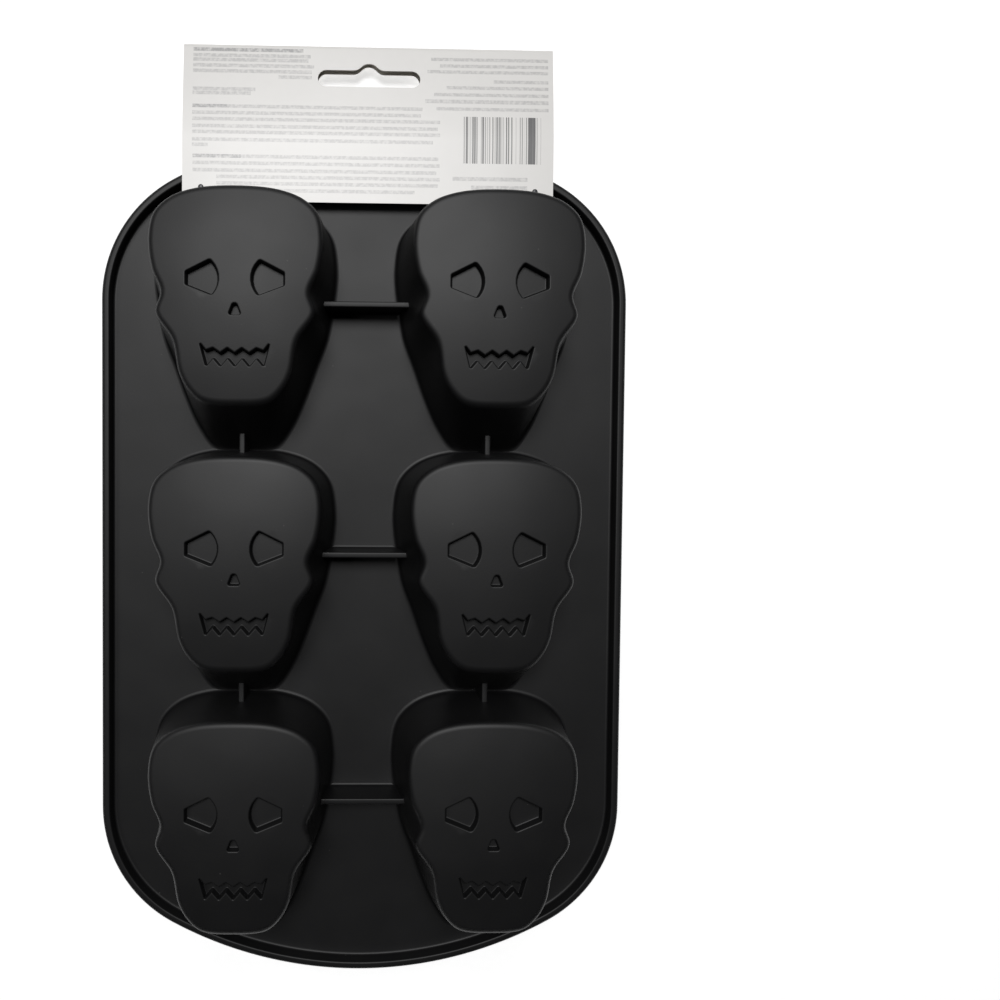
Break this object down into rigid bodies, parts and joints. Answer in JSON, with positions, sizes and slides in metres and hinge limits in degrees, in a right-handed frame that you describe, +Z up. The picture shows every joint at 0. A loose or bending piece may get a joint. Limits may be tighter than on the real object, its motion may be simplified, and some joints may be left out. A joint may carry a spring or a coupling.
{
  "type": "silicone skull cake mould",
  "caption": "Flexible silicone baking mould with rows of flat-faced skull cups, lying domes up, with a rim bead, stiffening ribs and a folded hang card held on by tag pins.",
  "frame": {"origin": "middle of the bottom of the whole object's box, level with the tag pins' bars under the card", "axes": "+Z up, the way the domes point; +Y along the mould towards the hang card's fold, the way the crowns point; +X across the two columns, to the right in the picture"},
  "size_m": [0.165, 0.2932, 0.0332],
  "materials": {
    "silicone": "matt black food-grade silicone with a soft sheen",
    "card": "off-white coated paperboard, 0.45 mm",
    "pin": "dark grey moulded polypropylene"
  },
  "bodies": {
    "mould": {"base_sheet": "silicone", "rim_bead": "silicone", "skull_cup_crown_end_left": "silicone", "skull_cup_crown_end_right": "silicone", "skull_cup_middle_left": "silicone", "skull_cup_middle_right": "silicone", "skull_cup_chin_end_left": "silicone", "skull_cup_chin_end_right": "silicone", "cross_rib_crown_end": "silicone", "cross_rib_middle": "silicone", "cross_rib_chin_end": "silicone", "row_rib_below_crown_end_left": "silicone", "row_rib_below_crown_end_right": "silicone", "row_rib_below_middle_left": "silicone", "row_rib_below_middle_right": "silicone", "hang_card": "card"},
    "left_pin": {"tag_pin_left": "pin"},
    "right_pin": {"tag_pin_right": "pin"}
  },
  "joints": [
    {"name": "left_pin_slide", "type": "slide", "parent": "mould", "child": "left_pin", "axis": [0, 0, 1], "range_m": [-0.001, 0]},
    {"name": "right_pin_slide", "type": "slide", "parent": "mould", "child": "right_pin", "axis": [0, 0, 1], "range_m": [-0.001, 0]}
  ]
}
